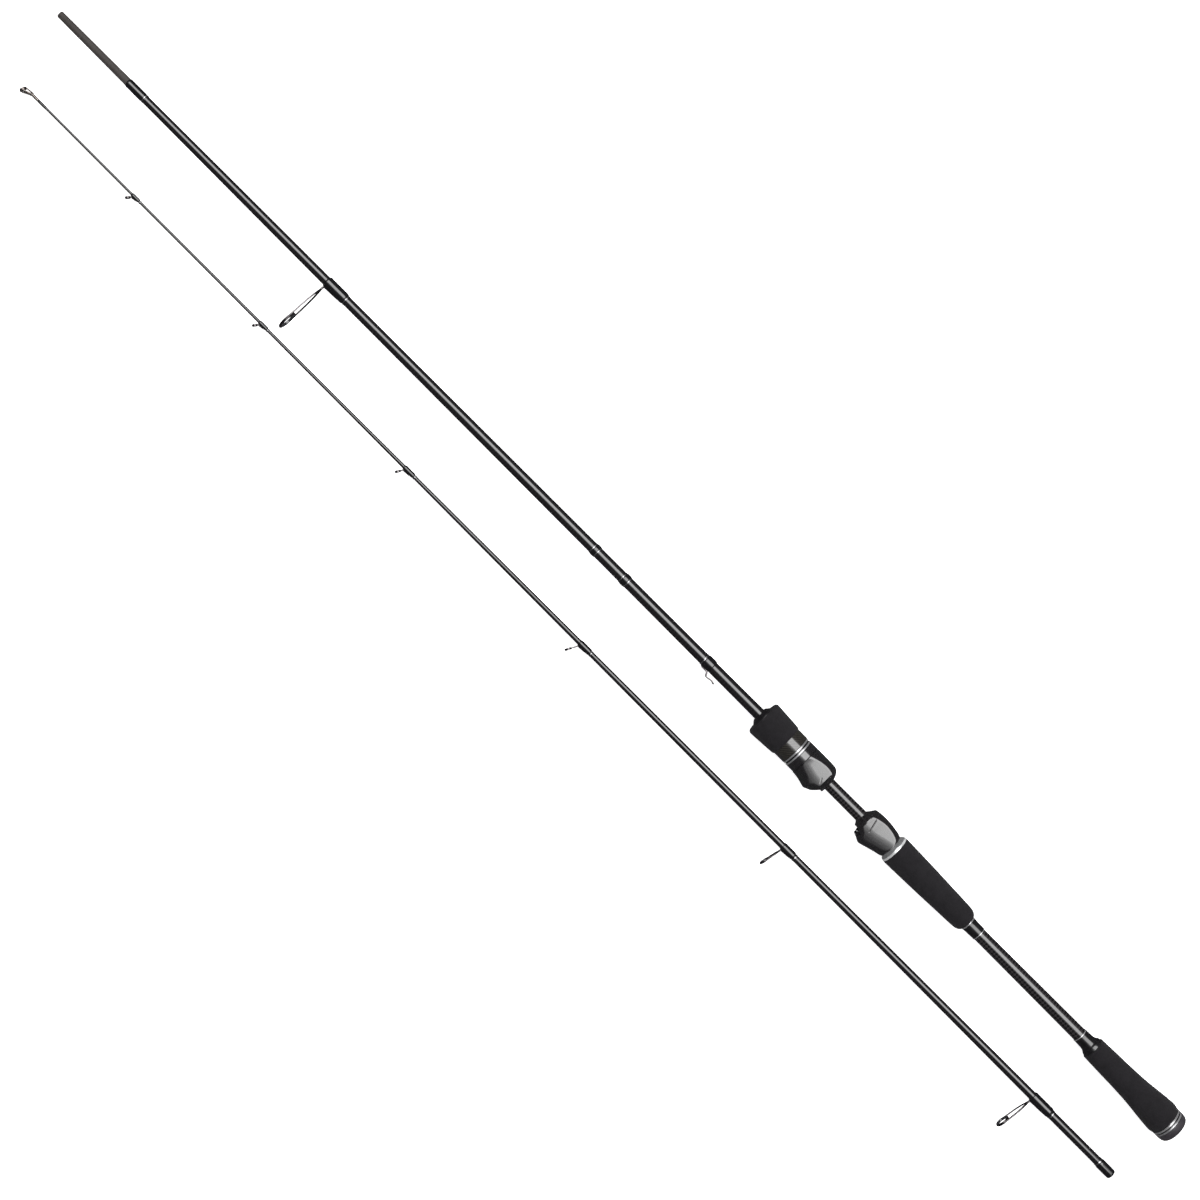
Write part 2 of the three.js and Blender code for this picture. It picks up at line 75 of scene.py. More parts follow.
HOME = {"butt": axis_start("butt_cap"), "tip": axis_start("tip_blank")}

# ---------- driving dimensions ----------

# (station, radius) of each blank
TAPERS = {}
TAPERS["butt"] = [
    (11.5, 5.75), (103, 5.68), (209, 5.3), (336, 5.1), (452, 4.82), (558, 4.5), (694, 4.24),
    (845, 3.93), (966, 3.69), (1086, 3.32), (1119.3, 3.22), (1192.5, 2.86),
]
TAPERS["tip"] = [
    (0, 3.55), (24, 3.5), (100, 3.46), (160, 3.26), (281, 2.88), (402, 2.62), (522, 2.3),
    (643, 1.96), (764, 1.56), (824, 1.4), (945, 1.2), (1160.5, 0.96),
]
HANDLE_END = 440  # the blank's pattern is bolder behind this
SHOULDER = 1119.3  # the bare male ferrule starts here
FOOT_FLOOR = 8.2  # height above the axis that a reel foot lies at
LAND = 8.05  # height of the open land in front of each pocket
POCKET_TOP = 12.75
POCKET_HALF_WIDTH = 6.5
INSERT_PROUD = 0.12  # how far a ceramic insert stands out of its ring on each side
SINK = 0.08  # how far a wrap's inside lies under the blank's surface

# name, section, the wrap's start, end and radius, the ring's height, radius and lean in
# degrees, and how many legs
GUIDES = [
    ("guide_1", "tip", 1045.9, 1053.8, 1.6, 4.0, 2.15, 38, 1),
    ("guide_2", "tip", 908.4, 916.8, 1.7, 4.3, 2.2, 36, 1),
    ("guide_3", "tip", 750.4, 760.8, 2.1, 5.9, 2.4, 31, 1),
    ("guide_4", "tip", 560.7, 572.1, 2.7, 9.8, 2.75, 28, 1),
    ("guide_5", "tip", 341.8, 353.6, 3.3, 17.9, 3.9, 11.5, 2),
    ("guide_6", "tip", 65.8, 84.9, 4.25, 29.6, 5.5, 8, 2),
    ("guide_7", "butt", 887.4, 907.2, 4.6, 41.9, 7.9, 2.5, 2),
]

# ---------- node materials ----------


class Graph:
    """The nodes of one material, added and linked by name."""

    def __init__(self, name, **uniform):
        self.material = bpy.data.materials.new(name)
        self.material.use_nodes = True
        self.nodes = self.material.node_tree.nodes
        self.links = self.material.node_tree.links
        self.shader = self.nodes["Principled BSDF"]
        for socket, value in uniform.items():
            self.shader.inputs[socket.replace("_", " ")].default_value = value

    def put(self, socket, value):
        """Links an output to an input, or sets the input to a plain value."""
        if isinstance(value, bpy.types.NodeSocket):
            self.links.new(value, socket)
        else:
            socket.default_value = value

    def add(self, kind, inputs=(), **settings):
        node = self.nodes.new("ShaderNode" + kind)
        for key, value in settings.items():
            setattr(node, key, value)
        for key, value in dict(inputs).items():
            self.put(node.inputs[key], value)
        return node

    def math(self, operation, *values):
        node = self.add("Math", enumerate(values), operation=operation)
        return node.outputs[0]

    def coordinates(self, stretch=(1, 1, 1)):
        """Object coordinates, which are the frame's own, in metres."""
        place = self.add("TexCoord").outputs["Object"]
        return self.add("Mapping", {"Vector": place, "Scale": stretch}).outputs[0]

    def wrap(self):
        """The station in millimetres, and the turns around the rod."""
        split = self.add("SeparateXYZ", {0: self.add("UVMap", uv_map=UV).outputs[0]})
        return split.outputs[0], split.outputs[1]

    def noise(self, scale, detail, stretch=(1, 1, 1)):
        inputs = {"Vector": self.coordinates(stretch), "Scale": scale, "Detail": detail}
        return self.add("TexNoise", inputs).outputs["Fac"]

    def cells(self, scale):
        """A cell pattern, with its distances and its random colours."""
        return self.add("TexVoronoi", {"Vector": self.coordinates(), "Scale": scale}, feature="F1")

    def spread(self, value, low, high, start=0.0, end=1.0):
        """value between start and end, as a number between low and high."""
        inputs = {"Value": value, "From Min": start, "From Max": end, "To Min": low, "To Max": high}
        return self.add("MapRange", inputs).outputs[0]

    def blend(self, share, low, high):
        """A colour between low and high. Each is a colour or an output."""
        node = self.add("Mix", data_type="RGBA")
        self.put(node.inputs[0], share)
        for socket, value in zip((node.inputs[6], node.inputs[7]), (low, high)):
            self.put(socket, value if isinstance(value, bpy.types.NodeSocket) else (*value, 1))
        return node.outputs[2]

    def bump(self, height, strength, distance):
        """Puts a bump of that height, in metres, under the shader's base layer."""
        inputs = {"Strength": strength, "Distance": distance, "Height": height}
        earlier = self.shader.inputs["Normal"].links
        if earlier:
            inputs["Normal"] = earlier[0].from_socket
        self.links.new(self.add("Bump", inputs).outputs[0], self.shader.inputs["Normal"])

    def colour(self, share, low, high):
        """The base colour, blended between low and high."""
        self.put(self.shader.inputs["Base Color"], self.blend(share, low, high))

    def rough(self, value, low, high):
        """The roughness, from low to high as value goes from 0 to 1."""
        self.put(self.shader.inputs["Roughness"], self.spread(value, low, high))

    def painted_edge_highlight(self, base, pale, share, start, end):
        """The base colour, with a share of pale painted along outer edges that are this sharp, as a painted
        edge highlight.
        """
        point = self.add("NewGeometry").outputs["Pointiness"]
        edges = self.spread(point, 0, 1, start, end)
        self.colour(self.math("MULTIPLY", edges, share), base, pale)


def carbon_blank(name, pitch, contrast, pale):
    """Gloss black blank: two tapes crossing under a clear coat leave a faint diamond pattern."""
    g = Graph(name, Coat_Weight=1.0, Coat_Roughness=0.05, Coat_IOR=1.72, Specular_IOR_Level=0.15)
    station, turn = g.wrap()
    along = g.math("DIVIDE", station, pitch)
    around = g.math("MULTIPLY", turn, 6.0)
    waves = []
    for join in ("ADD", "SUBTRACT"):
        stripe = g.math("MULTIPLY", g.math(join, along, around), 2 * math.pi)
        waves.append(g.math("SINE", stripe))
    crossed = g.math("MULTIPLY", *waves)
    checks = g.spread(crossed, 0.5 - contrast / 2, 0.5 + contrast / 2, -0.35, 0.35)
    grain = g.math("SUBTRACT", g.noise(900, 4), 0.5)
    mottled = g.math("ADD", checks, g.math("MULTIPLY", grain, 0.5))
    g.colour(mottled, (0.0012, 0.001, 0.0014), pale)
    fibres = g.noise(2600, 2, stretch=(0.05, 1, 1))
    g.rough(fibres, 0.28, 0.46)
    g.bump(waves[0], 0.2, 0.00003)
    return g.material


def bare_ferrule():
    """Sanded, uncoated carbon on the male ferrule."""
    g = Graph("bare_ferrule", Specular_IOR_Level=0.25)
    rings = g.noise(2400, 3, stretch=(1, 0.05, 0.05))
    cloud = g.noise(60, 4)
    tone = g.math("ADD", g.math("MULTIPLY", rings, 0.5), g.math("MULTIPLY", cloud, 0.5))
    tone = g.spread(tone, 0, 1, 0.3, 0.7)
    g.colour(tone, (0.031, 0.0272, 0.0256), (0.057, 0.0505, 0.048))
    g.rough(rings, 0.5, 0.68)
    g.bump(rings, 0.35, 0.00003)
    return g.material


def eva_foam():
    """Matte closed-cell foam: fine cells with painted shade in their pits, a soft mottle, and a painted edge
    highlight that makes sharp outer edges slightly paler.
    """
    g = Graph("eva_foam", Sheen_Weight=0.03, Sheen_Roughness=0.6, Specular_IOR_Level=0.16)
    g.shader.inputs["Sheen Tint"].default_value = (0.5, 0.5, 0.52, 1)
    cells = g.cells(1700.0).outputs["Distance"]
    mottle = g.noise(180, 5)
    base = g.blend(g.spread(mottle, 0, 1, 0.3, 0.7), (0.0062, 0.0056, 0.0066), (0.0108, 0.0099, 0.0114))
    # Painted shade: the colour is darker at the pits of the cells, where the bump sinks the surface.
    pit_shade = g.spread(cells, 0.0, 1.0, 0.15, 0.75)
    base = g.blend(g.math("MULTIPLY", pit_shade, 0.35), base, (0.019, 0.0176, 0.0202))
    # Painted edge highlight: sharp outer edges are coloured paler.
    g.painted_edge_highlight(base, (0.045, 0.043, 0.047), 0.3, 0.53, 0.66)
    g.rough(mottle, 0.78, 0.95)
    g.bump(cells, 0.45, 0.00012)
    g.bump(mottle, 0.2, 0.0003)
    return g.material


def thread_wrap():
    """Black winding thread under clear epoxy."""
    g = Graph("thread_wrap", Coat_Weight=1.0, Coat_Roughness=0.03, Coat_IOR=1.72, Specular_IOR_Level=0.1)
    station, turn = g.wrap()
    thread = 0.2
    advance = g.math("ADD", station, g.math("MULTIPLY", turn, thread))
    winds = g.math("SINE", g.math("MULTIPLY", advance, 2 * math.pi / thread))
    strands = g.noise(1500, 3)
    # Painted shade and highlight: the thread is coloured darker in the grooves between its turns and paler on
    # their crests, which the bump raises.
    tone = g.spread(winds, 0.1, 0.9, -1, 1)
    g.colour(tone, (0.0016, 0.0015, 0.002), (0.0065, 0.006, 0.0075))
    g.rough(strands, 0.34, 0.52)
    g.bump(winds, 0.5, 0.00004)
    return g.material


def metal_thread():
    """The silver thread of the trim bands, sealed under the same epoxy."""
    g = Graph("metal_thread", Metallic=1.0, Coat_Weight=0.6, Coat_Roughness=0.04)
    station, turn = g.wrap()
    along = g.math("MULTIPLY", station, 2 * math.pi / 0.22)
    around = g.math("MULTIPLY", turn, 2 * math.pi * 14)
    winds = g.math("SINE", g.math("ADD", along, around))
    # Painted shade and highlight: the silver thread is coloured darker in the grooves between its turns and
    # paler on their crests.
    g.colour(g.spread(winds, 0, 1, -1, 1), (0.34, 0.34, 0.35), (0.78, 0.78, 0.79))
    g.rough(g.noise(3000, 2), 0.18, 0.34)
    g.bump(winds, 0.5, 0.00005)
    return g.material


def turned_metal(name, metallic, dark, pale):
    """Satin turned aluminium, with faint tool marks and a cloudy polish."""
    g = Graph(name, Metallic=metallic)
    turning = g.noise(5200, 2, stretch=(1, 0.04, 0.04))
    cloud = g.noise(240, 4)
    g.colour(g.spread(cloud, 0, 1, 0.3, 0.7), dark, pale)
    g.rough(turning, 0.2, 0.4)
    g.bump(turning, 0.12, 0.00003)
    return g.material


def hood_paint():
    """Gloss black paint with fine flake, under a clear coat with a slight orange peel."""
    g = Graph("hood_paint", Coat_Weight=1.0, Coat_Roughness=0.09, Coat_IOR=1.78, Specular_IOR_Level=0.2)
    sparkle = g.add("SeparateColor", {0: g.cells(5200.0).outputs["Color"]}).outputs[0]
    peel = g.noise(700, 3)
    base = g.blend(sparkle, (0.0055, 0.005, 0.0056), (0.0135, 0.0125, 0.0139))
    # Painted edge highlight: sharp outer edges of the black paint are coloured paler.
    g.painted_edge_highlight(base, (0.08, 0.077, 0.08), 0.35, 0.56, 0.7)
    g.rough(sparkle, 0.26, 0.42)
    g.bump(peel, 0.06, 0.0002)
    return g.material


def dark_plastic():
    """Semi-gloss black collars and checks, moulded, with fine swirl marks."""
    g = Graph("dark_plastic", Coat_Weight=1.0, Coat_Roughness=0.12, Coat_IOR=1.6, Specular_IOR_Level=0.2)
    swirl = g.noise(1400, 3, stretch=(1, 0.15, 0.15))
    cloud = g.noise(160, 4)
    base = g.blend(g.spread(cloud, 0, 1, 0.3, 0.7), (0.003, 0.0027, 0.0033), (0.0072, 0.0065, 0.0078))
    # Painted edge highlight: sharp outer edges of the plastic are coloured paler.
    g.painted_edge_highlight(base, (0.05, 0.048, 0.052), 0.35, 0.55, 0.7)
    g.rough(swirl, 0.26, 0.4)
    g.bump(swirl, 0.08, 0.00005)
    return g.material


def liner_rubber():
    """Dull black rubber that lines the fixed hood's mouth."""
    g = Graph("liner_rubber", Specular_IOR_Level=0.1)
    grain = g.noise(900, 4)
    g.colour(grain, (0.002, 0.002, 0.0024), (0.007, 0.0066, 0.0074))
    g.rough(grain, 0.6, 0.85)
    g.bump(grain, 0.2, 0.00004)
    return g.material


def cap_rubber():
    """The satin dark grey butt cap, with a fine moulded grain and a painted highlight that makes its rim
    paler.
    """
    g = Graph("cap_rubber", Specular_IOR_Level=0.45, Sheen_Weight=0.04)
    grain = g.cells(3400.0).outputs["Distance"]
    cloud = g.noise(120, 4)
    base = g.blend(g.spread(cloud, 0, 1, 0.3, 0.7), (0.021, 0.018, 0.0225), (0.031, 0.027, 0.0335))
    # Painted edge highlight: the cap's sharp rim is coloured paler.
    g.painted_edge_highlight(base, (0.07, 0.065, 0.074), 0.5, 0.53, 0.64)
    g.rough(cloud, 0.42, 0.56)
    g.bump(grain, 0.25, 0.00004)
    return g.material


def woven_carbon():
    """Clear-coated 2 by 2 twill: each tow runs over two and under two."""
    g = Graph("woven_carbon", Coat_Weight=1.0, Coat_Roughness=0.05, Coat_IOR=1.7, Specular_IOR_Level=0.2)
    station, turn = g.wrap()
    tow = 0.62
    tows_around = 128
    row = g.math("DIVIDE", station, tow)
    column = g.math("MULTIPLY", turn, float(tows_around))
    step = g.math("ADD", g.math("FLOOR", row), g.math("FLOOR", column))
    over = g.math("LESS_THAN", g.math("FLOORED_MODULO", step, 4.0), 1.5)
    arch = []
    for place in (row, column):
        arch.append(g.math("ABSOLUTE", g.math("SINE", g.math("MULTIPLY", place, math.pi))))
    rise = g.add("Mix", {0: over, 2: arch[0], 3: arch[1]}).outputs[0]
    # Painted reflection and shade: tows lying one way are coloured paler than those lying the other, and each
    # tow is coloured darker at its edges, where the bump's arch dips.
    tone = g.math("MULTIPLY", g.spread(over, 0.25, 1.0), g.spread(rise, 0.35, 1.0))
    g.colour(tone, (0.0045, 0.004, 0.0034), (0.032, 0.0292, 0.0244))
    g.rough(over, 0.42, 0.28)
    g.bump(rise, 0.3, 0.00005)
    return g.material


def guide_steel(name, dark, pale):
    """Polished dark steel, slightly uneven where it was tumbled."""
    g = Graph(name, Metallic=1.0)
    cloud = g.noise(420, 4)
    scratches = g.noise(6000, 2, stretch=(1, 0.2, 1))
    g.colour(g.spread(cloud, 0, 1, 0.3, 0.7), dark, pale)
    g.rough(scratches, 0.14, 0.3)
    g.bump(cloud, 0.1, 0.00006)
    return g.material


def ceramic():
    """The polished dark ceramic of the guide inserts."""
    g = Graph("ceramic", Coat_Weight=1.0, Coat_Roughness=0.02, Coat_IOR=1.8)
    grain = g.noise(1800, 4)
    g.colour(grain, (0.012, 0.012, 0.014), (0.03, 0.03, 0.034))
    g.rough(grain, 0.16, 0.28)
    g.bump(grain, 0.05, 0.00002)
    return g.material


# the paints that pieces are dressed in, by name
PAINTS = {
    "handle_blank": carbon_blank("handle_blank", 5.45, 1.0, (0.026, 0.0228, 0.0245)),
    "blank": carbon_blank("blank", 6.3, 0.5, (0.012, 0.0105, 0.012)),
    "ferrule": bare_ferrule(),
    "foam": eva_foam(),
    "thread": thread_wrap(),
    "metal_thread": metal_thread(),
    "silver": turned_metal("silver_metal", 0.55, (0.70, 0.71, 0.715), (0.90, 0.91, 0.915)),
    # A darker copy of the silver: the darkening is painted shade for the knurl's grooves, and the plain trim
    # rings and rear check wear it too.
    "knurl": turned_metal("knurl_metal_shaded", 0.8, (0.42, 0.42, 0.43), (0.66, 0.66, 0.67)),
    # A glossier, darker copy of the silver for faces that slope forward: its darker colour is painted shade.
    "bevel": turned_metal("bevel_metal_shaded", 0.85, (0.5, 0.505, 0.51), (0.72, 0.725, 0.73)),
    "hood": hood_paint(),
    "plastic": dark_plastic(),
    "rubber": liner_rubber(),
    "cap": cap_rubber(),
    "carbon": woven_carbon(),
    "steel": guide_steel("guide_steel", (0.1, 0.092, 0.094), (0.2, 0.186, 0.19)),
    "tip_steel": guide_steel("tip_steel", (0.13, 0.115, 0.108), (0.29, 0.257, 0.235)),
    "ceramic": ceramic(),
}

# ---------- outlines ----------


def radius_at(taper, station):
    """The radius that a taper has at a station."""
    for (x0, r0), (x1, r1) in zip(taper, taper[1:]):
        if station <= x1:
            return r0 + (r1 - r0) * (station - x0) / (x1 - x0)
    return taper[-1][1]


def ease(value):
    """A smooth step from 0 to 1."""
    value = min(1.0, max(0.0, value))
    return value * value * (3 - 2 * value)


def flowing(points, steps=6):
    """A smooth curve through (station, radius) points, by monotone cubics."""
    count = len(points)
    slopes = [(points[i + 1][1] - points[i][1]) / (points[i + 1][0] - points[i][0]) for i in range(count - 1)]
    tangents = [slopes[0]]
    for a, b in zip(slopes, slopes[1:]):
        tangents.append(0.0 if a * b <= 0 else 2 * a * b / (a + b))
    tangents.append(slopes[-1])
    curve = []
    for i in range(count - 1):
        (x0, r0), (x1, r1) = points[i], points[i + 1]
        wide = x1 - x0
        for k in range(steps):
            t = k / steps
            value = (2 * t**3 - 3 * t**2 + 1) * r0 + (t**3 - 2 * t**2 + t) * wide * tangents[i]
            value += (3 * t**2 - 2 * t**3) * r1 + (t**3 - t**2) * wide * tangents[i + 1]
            curve.append((x0 + wide * t, value))
    return curve + [points[-1]]


def rounded(corners, closed=False, steps=5):
    """An outline of (station, radius, rounding) corners, each rounding drawn as an arc."""
    outline = []
    count = len(corners)
    for i, corner in enumerate(corners):
        here = Vector(corner[:2])
        rounding = corner[2] if len(corner) > 2 else 0.0
        if rounding == 0 or (not closed and i in (0, count - 1)):
            outline.append(tuple(here))
            continue
        before = Vector(corners[i - 1][:2]) - here
        after = Vector(corners[(i + 1) % count][:2]) - here
        start = here + before.normalized() * min(rounding, 0.48 * before.length)
        end = here + after.normalized() * min(rounding, 0.48 * after.length)
        for k in range(steps + 1):
            t = k / steps
            outline.append(tuple((1 - t) ** 2 * start + 2 * t * (1 - t) * here + t * t * end))
    return outline


# ---------- meshes ----------


def to_object(name, mesh, sharp=35):
    """Turns outward, smooths and links a mesh that is in the frame."""
    tidy = bmesh.new()
    tidy.from_mesh(mesh)
    bmesh.ops.recalc_face_normals(tidy, faces=tidy.faces)
    tidy.to_mesh(mesh)
    tidy.free()
    mesh.shade_smooth()
    mesh.set_sharp_from_angle(angle=math.radians(sharp))
    piece = bpy.data.objects.new(name, mesh)
    bpy.context.scene.collection.objects.link(piece)
    return piece


def build(name, section, points, faces, uvs, sharp=35):
    """A mesh object from points in millimetres, with one UV for each face corner."""
    home = HOME[section]
    mesh = bpy.data.meshes.new(name)
    mesh.from_pydata([home + MM * Vector(p) for p in points], [], faces)
    layer = mesh.uv_layers.new(name=UV)
    flat = [value for face in uvs for corner in face for value in corner]
    layer.data.foreach_set("uv", flat)
    return to_object(name, mesh, sharp)


def polar(station, radius, angle):
    """The point at a radius and an angle about the axis. Angles run from +Y towards +Z."""
    return station, radius * math.cos(angle), radius * math.sin(angle)


def turned(name, section, outline, closed=False, sides=96, shape=polar, place=None, sharp=35):
    """A body turned about its section's axis.

    A closed outline is a sleeve; an open one is solid to the axis at both ends.
    shape(station, radius, angle) gives the (station, y, z) of a point, and place moves
    the finished points.
    """
    if not closed:
        outline = [(outline[0][0], 0.0), *outline, (outline[-1][0], 0.0)]
    points, rings = [], []
    for station, radius in outline:
        if radius == 0:
            rings.append([len(points)] * sides)
            points.append((station, 0.0, 0.0))
            continue
        rings.append(list(range(len(points), len(points) + sides)))
        points += [shape(station, radius, 2 * math.pi * k / sides) for k in range(sides)]
    if place is not None:
        points = [place @ Vector(p) for p in points]
    faces, uvs = [], []
    pairs = [(i, i + 1) for i in range(len(rings) - 1)]
    if closed:
        pairs.append((len(rings) - 1, 0))
    for i, j in pairs:
        for k in range(sides):
            kept = []
            for ring, turn in ((i, k), (i, k + 1), (j, k + 1), (j, k)):
                index = rings[ring][turn % sides]
                if index not in [c[0] for c in kept]:
                    kept.append((index, (outline[ring][0], turn / sides)))
            faces.append([c[0] for c in kept])
            uvs.append([c[1] for c in kept])
    return build(name, section, points, faces, uvs, sharp)


def swept(name, section, path, cross, start_side=Vector((0, 0, 1))):
    """A bar along a path of points, closed at both ends.

    cross(share) gives the bar's (half-width, half-thickness) at that share of its length;
    the width lies along start_side at the start and keeps its turn from there.
    """
    sides = 12
    squareness = 0.7  # 1 is an ellipse
    path = [Vector(p) for p in path]
    count = len(path)
    points, faces, uvs = [], [], []
    side = start_side
    for i, here in enumerate(path):
        ahead = (path[min(i + 1, count - 1)] - path[max(i - 1, 0)]).normalized()
        side = (side - ahead * side.dot(ahead)).normalized()
        thick = ahead.cross(side)
        half_width, half_thickness = cross(i / (count - 1))
        for k in range(sides):
            angle = 2 * math.pi * (k + 0.5) / sides
            across, out = math.cos(angle), math.sin(angle)
            across = math.copysign(abs(across) ** squareness, across)
            out = math.copysign(abs(out) ** squareness, out)
            points.append(here + side * half_width * across + thick * half_thickness * out)
    for i in range(count - 1):
        for k in range(sides):
            far = (k + 1) % sides
            faces.append([i * sides + k, i * sides + far, (i + 1) * sides + far, (i + 1) * sides + k])
            uvs.append([(i, k / sides), (i, (k + 1) / sides), (i + 1, (k + 1) / sides), (i + 1, k / sides)])
    for i in (0, count - 1):
        faces.append([i * sides + k for k in range(sides)])
        uvs.append([(i, k / sides) for k in range(sides)])
    return build(name, section, points, faces, uvs)


def combined(piece, others, operation, sharp=35):
    """piece united with, or cut by, other closed meshes, which are used up."""
    for other in others:
        modifier = piece.modifiers.new("combine", "BOOLEAN")
        modifier.operation = operation
        modifier.solver = "MANIFOLD"
        modifier.object = other
    depsgraph = bpy.context.evaluated_depsgraph_get()
    mesh = bpy.data.meshes.new_from_object(piece.evaluated_get(depsgraph))
    piece.modifiers.clear()
    piece.data = mesh
    for other in others:
        bpy.data.objects.remove(other)
    mesh.shade_smooth()
    mesh.set_sharp_from_angle(angle=math.radians(sharp))
    return piece


def dress(piece, paint, body, *nodes):
    """Gives a piece its material and its body, and hides the CAD nodes that it stands for."""
    piece.data.materials.clear()
    piece.data.materials.append(PAINTS[paint])
    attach(piece, body)
    if nodes:
        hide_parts(*nodes)
    return piece


def rounded_box(name, section, low, high, rounding):
    """A closed box with rounded edges."""
    mesh = bpy.data.meshes.new(name)
    shape = bmesh.new()
    bmesh.ops.create_cube(shape, size=1.0)
    low, high = Vector(low), Vector(high)
    for v in shape.verts:
        v.co = Vector((v.co[i] * (high - low)[i] + (high + low)[i] / 2 for i in range(3)))
    bmesh.ops.bevel(shape, geom=shape.edges[:], offset=rounding, segments=3, profile=0.5, affect="EDGES")
    for v in shape.verts:
        v.co = HOME[section] + MM * v.co
    shape.to_mesh(mesh)
    shape.free()
    return to_object(name, mesh)


def prism(name, section, corners, half_width):
    """A closed block with a side of (station, y) corners, for cutting."""
    count = len(corners)
    points = [(x, y, z) for z in (-half_width, half_width) for x, y in corners]
    faces = [list(range(count)), list(range(count, 2 * count))]
    for i in range(count):
        after = (i + 1) % count
        faces.append([i, after, after + count, i + count])
    return build(name, section, points, faces, [[(0, 0)] * len(face) for face in faces])


def foot_pocket(low, high, ceiling, offset):
    """The room for a reel's foot: flat below, and arched above about the hump's axis."""
    half = POCKET_HALF_WIDTH
    flat = rounded_box("pocket", "butt", (low, FOOT_FLOOR, -half), (high, POCKET_TOP, half), 0.5)
    arch = turned("arch", "butt", flowing(ceiling), place=Matrix.Translation((0, offset, 0)))
    return combined(flat, [arch], "INTERSECT")


# ---------- blanks ----------


def blanks():
    """The two blanks, and the bare male ferrule that ends the butt section."""
    taper = TAPERS["butt"]
    outer = [(s, radius_at(taper, s)) for s in (11.6, *range(20, 1119, 12), SHOULDER)]
    bore = [(SHOULDER, 2.3), (452, 3.5), (11.3, 4.4)]
    blank = turned("butt_blank", "butt", outer + bore, closed=True, sides=64)
    dress(blank, "blank", "butt_section", "butt_blank")
    blank.data.materials.append(PAINTS["handle_blank"])
    handle_end = HOME["butt"].x + HANDLE_END * MM
    for face in blank.data.polygons:
        if face.center.x < handle_end:
            face.material_index = 1

    male = [(s, radius_at(taper, s)) for s in (SHOULDER, *range(1125, 1190, 8))]
    male += rounded([(1191.0, 2.87), (1192.5, 2.86, 0.5), (1192.5, 1.9, 0.25), (1191.0, 1.9)])
    ferrule = turned("male_ferrule", "butt", [*male, (SHOULDER, 2.3)], closed=True, sides=64)
    dress(ferrule, "ferrule", "butt_section")

    outer = [(s, radius_at(TAPERS["tip"], s)) for s in range(4, 1156, 12)]
    bore = [(764, 0.5), (402, 1.6), (74, 2.65), (0.15, 2.98)]
    mouth = rounded([(0.15, 2.98), (0, 3.1, 0.05), (0, 3.55, 0.2), (4, 3.54)])[1:-1]
    points = bore + mouth + outer + [(1160.5, 0.9), (1161.5, 0.4)]
    dress(turned("tip_blank", "tip", points, sides=48), "blank", "tip_section", "tip_blank")


# ---------- thread wraps and guides ----------


def wound(name, section, start, end, radius, lift=0.0):
    """A thread wrap in place of the CAD node of its name, its epoxy run out onto the blank.

    lift is how far the foot that it binds raises its guide side at the front.
    """
    taper = TAPERS[section]
    length = end - start
    run_out = min(1.6, 0.3 * length)
    skin = 0.03  # how far the run-out's edge lies under the blank's surface
    count = 28
    outline = []
    for i in range(count + 1):
        t = 0.5 - 0.5 * math.cos(math.pi * i / count)
        station = start + length * t
        gap = min(station - start, end - station)
        build_up = math.sqrt(max(0.0, 1 - (1 - min(1.0, gap / run_out)) ** 2))
        surface = radius_at(taper, station)
        outline.append((station, surface - skin + (radius - surface + skin) * build_up))
    inner = [(s, radius_at(taper, s) - SINK) for s in (end, start)]

    def raised(station, r, angle):
        if r > radius_at(taper, station) - 0.05:
            rise = lift * ease((station - start) / (0.55 * length)) - 0.35 * lift
            gap = min(1.0, (end - station) / run_out)
            facing = max(0.0, math.cos(angle)) ** 2
            r = max(radius_at(taper, station) - 0.02, r + rise * facing * gap)
        return polar(station, r, angle)

    shape = raised if lift else polar
    piece = turned(name, section, outline + inner, closed=True, sides=64, shape=shape)
    dress(piece, "thread", f"{section}_section", name)


def trim_band(name, section, start, end, height=0.3):
    """A narrow band of silver thread."""
    surface = radius_at(TAPERS[section], start)
    inside = surface - 0.05
    top = surface + height
    corners = [(start, inside), (start, top, 0.2), (end, top, 0.2), (end, inside)]
    outline = rounded(corners, closed=True, steps=4)
    band = turned(name, section, outline, closed=True, sides=64)
    dress(band, "metal_thread", f"{section}_section")


def guide_place(centre, lean):
    """Where a ring turned about the section's axis goes: leant and moved to its centre."""
    leant = Matrix.Rotation(-math.radians(lean), 4, "Z")
    return Matrix.Translation(Vector((centre[0], centre[1], 0))) @ leant


def ring_pieces(name, section, place, ring, width):
    """The steel band of a guide ring, and the rounded ceramic insert in it."""
    inside = 0.86 * ring
    half = width / 2
    corners = [(-half, inside, 0.12), (-half, ring, 0.3), (half, ring, 0.3), (half, inside, 0.12)]
    band = rounded(corners, closed=True, steps=4)
    bore = 0.69 * ring
    seat = inside + 0.02
    proud = half + INSERT_PROUD
    corners = [(-proud, seat, 0.2), (proud, seat, 0.2), (proud, bore, proud), (-proud, bore, proud)]
    insert = rounded(corners, closed=True, steps=8)
    return (
        turned(f"{name}_frame", section, band, closed=True, sides=72, place=place),
        turned(f"{name}_insert", section, insert, closed=True, sides=72, place=place),
    )


def bezier(a, b, c, d, steps):
    """Points along a cubic curve, without its last."""
    points = []
    for k in range(steps):
        t = k / steps
        points.append((1 - t) ** 3 * a + 3 * t * (1 - t) ** 2 * b + 3 * t * t * (1 - t) * c + t**3 * d)
    return points


